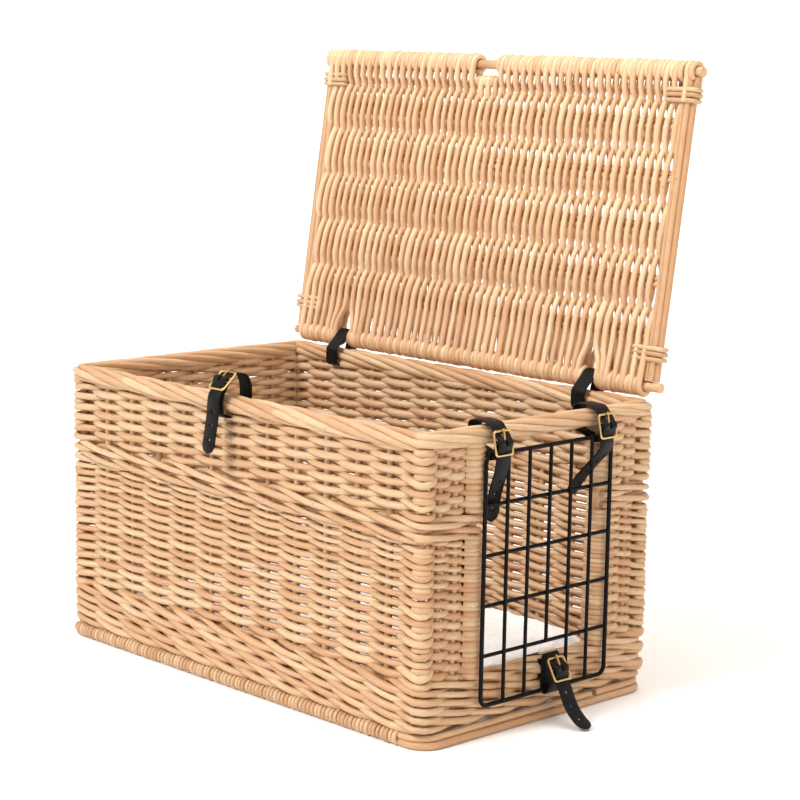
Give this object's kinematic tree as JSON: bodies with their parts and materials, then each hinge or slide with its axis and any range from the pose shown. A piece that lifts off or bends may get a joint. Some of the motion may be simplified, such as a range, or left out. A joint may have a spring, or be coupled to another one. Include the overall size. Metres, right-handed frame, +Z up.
{
  "type": "wicker pet bed basket",
  "caption": "Rectangular willow basket for a small pet, with a hinged lid on leather loops, a hanging wire-grille door at one end, buckled straps and a cushion inside.",
  "frame": {"origin": "middle of the flat underside of the base, where the basket stands", "axes": "+X towards the end with the wire door, -Y towards the front with the latch strap, +Z up; the lid stands open and the door hangs shut"},
  "size_m": [0.6625, 0.4393, 0.6898],
  "materials": {
    "willow": "peeled willow rods, pale cream to orange-brown, satin",
    "leather": "black, satin, creased edge line",
    "brass": "polished, lightly worn",
    "black_wire": "semi-gloss black coating",
    "fleece": "short cream fleece"
  },
  "bodies": {
    "basket": {"base_panel": "willow", "base_stick_front": "willow", "base_stick_back": "willow", "bottom_wale_front": "willow", "lower_wall_front": "willow", "mid_wale_front": "willow", "upper_wall_front": "willow", "bottom_wale_back": "willow", "lower_wall_back": "willow", "mid_wale_back": "willow", "upper_wall_back": "willow", "bottom_wale_left": "willow", "lower_wall_left": "willow", "mid_wale_left": "willow", "upper_wall_left": "willow", "bottom_wale_door_end": "willow", "lower_wall_door_front": "willow", "lower_wall_door_back": "willow", "mid_wale_door_front": "willow", "mid_wale_door_back": "willow", "upper_wall_door_front": "willow", "upper_wall_door_back": "willow", "corner_post_left_front": "willow", "corner_post_left_back": "willow", "corner_post_door_front": "willow", "corner_post_door_back": "willow", "jamb_post_front": "willow", "jamb_post_back": "willow", "rim_front": "willow", "rim_back": "willow", "rim_left": "willow", "rim_door_end": "willow", "cushion": "fleece", "hinge_strap_left": "leather", "hinge_strap_right": "leather", "latch_strap": "leather", "latch_buckle": "brass", "hanger_strap_front": "leather", "hanger_front_buckle": "brass", "hanger_strap_back": "leather", "hanger_back_buckle": "brass", "sill_loop": "leather"},
    "lid": {"lid_rear_stick": "willow", "lid_front_stick": "willow", "lid_side_stick_left": "willow", "lid_side_stick_right": "willow", "lid_weave": "willow", "lid_lashing_rear_left": "willow", "lid_lashing_rear_right": "willow", "lid_lashing_front_left": "willow", "lid_lashing_front_right": "willow"},
    "door": {"door_grille": "black_wire", "door_strap": "leather", "door_buckle": "brass"},
    "latch_prong": {"latch_prong": "brass"},
    "hanger_front_prong": {"hanger_front_prong": "brass"},
    "hanger_back_prong": {"hanger_back_prong": "brass"},
    "door_prong": {"door_prong": "brass"}
  },
  "joints": [
    {"name": "lid_hinge", "type": "hinge", "parent": "basket", "child": "lid", "pos_m": [0, 0.179, 0.34], "axis": [1, 0, 0], "range_deg": [0, 98.6]},
    {"name": "door_hinge", "type": "hinge", "parent": "basket", "child": "door", "pos_m": [0.3045, 0, 0.299], "axis": [0, -1, 0], "range_deg": [0, 110]},
    {"name": "latch_prong_lift", "type": "hinge", "parent": "basket", "child": "latch_prong", "pos_m": [-0.014, -0.1795, 0.3435], "axis": [1, 0, 0], "range_deg": [0, 70]},
    {"name": "hanger_front_prong_lift", "type": "hinge", "parent": "basket", "child": "hanger_front_prong", "pos_m": [0.3125, -0.08, 0.311], "axis": [0, 1, 0], "range_deg": [0, 70]},
    {"name": "hanger_back_prong_lift", "type": "hinge", "parent": "basket", "child": "hanger_back_prong", "pos_m": [0.3125, 0.08, 0.311], "axis": [0, 1, 0], "range_deg": [0, 70]},
    {"name": "door_prong_lift", "type": "hinge", "parent": "door", "child": "door_prong", "pos_m": [0.317, 0.01, 0.0585], "axis": [0, 1, 0], "range_deg": [0, 70]}
  ]
}
